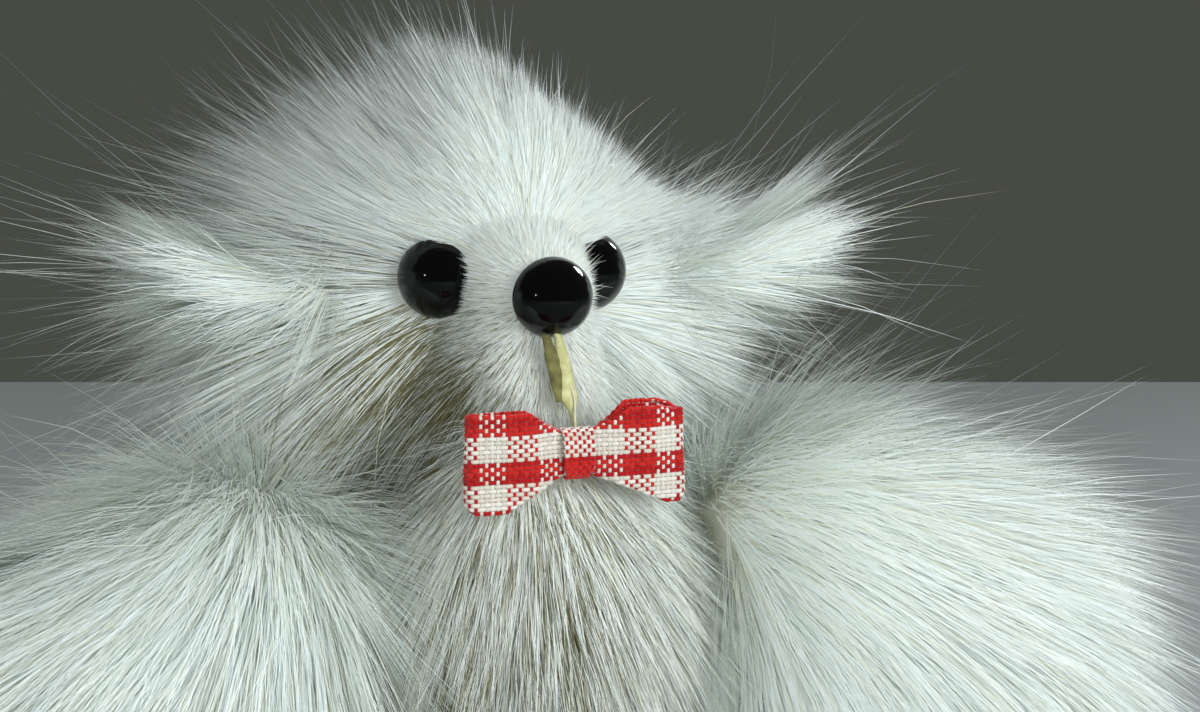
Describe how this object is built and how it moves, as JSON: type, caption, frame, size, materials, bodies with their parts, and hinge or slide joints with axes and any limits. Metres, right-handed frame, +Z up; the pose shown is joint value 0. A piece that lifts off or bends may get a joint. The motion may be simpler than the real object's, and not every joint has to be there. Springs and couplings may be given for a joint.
{
  "type": "plush dog charm",
  "caption": "Small sitting toy dog of long white fur with glossy black eyes and nose, a red gingham bow and a split ring on a cord loop behind its head",
  "frame": {"origin": "on the surface it sits on, under the middle of the whole object", "axes": "+Z up, the dog faces -Y, and its left side is +X"},
  "size_m": [0.1338, 0.1068, 0.0889],
  "materials": {
    "fur": "matte",
    "filling": "matte",
    "hide": "matte",
    "black_plastic": "gloss",
    "washer_plastic": "satin",
    "gingham": "matte",
    "sewing_thread": "satin",
    "cord": "satin",
    "ring_plating": "polished"
  },
  "bodies": {
    "torso": {"torso_pelt": "fur", "torso_stuffing": "filling", "neck_thread": "sewing_thread", "bow_ribbon": "gingham", "bow_band": "gingham", "bow_thread": "sewing_thread"},
    "head": {"head_pelt": "fur", "head_stuffing": "filling", "chin_seam": "hide", "eye_left": "black_plastic", "eye_right": "black_plastic", "eye_left_washer": "washer_plastic", "eye_right_washer": "washer_plastic", "nose": "black_plastic", "nose_washer": "washer_plastic", "ring_cord": "cord"},
    "ear_left": {"ear_left": "fur"},
    "ear_right": {"ear_right": "fur"},
    "ring": {"split_ring": "ring_plating"},
    "foreleg_left": {"foreleg_left_pelt": "fur", "foreleg_left_stuffing": "filling"},
    "foreleg_right": {"foreleg_right_pelt": "fur", "foreleg_right_stuffing": "filling"},
    "hindleg_left": {"hindleg_left_pelt": "fur", "hindleg_left_stuffing": "filling"},
    "hindleg_right": {"hindleg_right_pelt": "fur", "hindleg_right_stuffing": "filling"},
    "tail": {"tail_pelt": "fur"}
  },
  "joints": [
    {"name": "head_turn", "type": "hinge", "parent": "torso", "child": "head", "pos_m": [0, -0.021, 0.0567], "axis": [0, 0, 1], "range_deg": [-15, 15], "stiffness_Nm_per_rad": 0.01},
    {"name": "ear_left_flop", "type": "hinge", "parent": "head", "child": "ear_left", "pos_m": [0.0199, -0.0182, 0.0695], "axis": [0, 1, 0], "range_deg": [-15, 20]},
    {"name": "ear_right_flop", "type": "hinge", "parent": "head", "child": "ear_right", "pos_m": [-0.0199, -0.0182, 0.0695], "axis": [0, -1, 0], "range_deg": [-15, 20]},
    {"name": "ring_swing", "type": "hinge", "parent": "head", "child": "ring", "pos_m": [0.01338, -0.0021, 0.0817], "axis": [0.9272, -0.3746, 0], "range_deg": [0, 100]},
    {"name": "foreleg_left_swing", "type": "hinge", "parent": "torso", "child": "foreleg_left", "pos_m": [0.0204, -0.029, 0.034], "axis": [1, 0, 0], "range_deg": [-8, 8]},
    {"name": "foreleg_right_swing", "type": "hinge", "parent": "torso", "child": "foreleg_right", "pos_m": [-0.0204, -0.029, 0.034], "axis": [1, 0, 0], "range_deg": [-8, 8]},
    {"name": "hindleg_left_swing", "type": "hinge", "parent": "torso", "child": "hindleg_left", "pos_m": [0.0204, 0.015, 0.021], "axis": [1, 0, 0], "range_deg": [-6, 6]},
    {"name": "hindleg_right_swing", "type": "hinge", "parent": "torso", "child": "hindleg_right", "pos_m": [-0.0204, 0.015, 0.021], "axis": [1, 0, 0], "range_deg": [-6, 6]},
    {"name": "tail_wag", "type": "hinge", "parent": "torso", "child": "tail", "pos_m": [0, 0.0414, 0.022], "axis": [0, 0, 1], "range_deg": [-20, 20]}
  ]
}
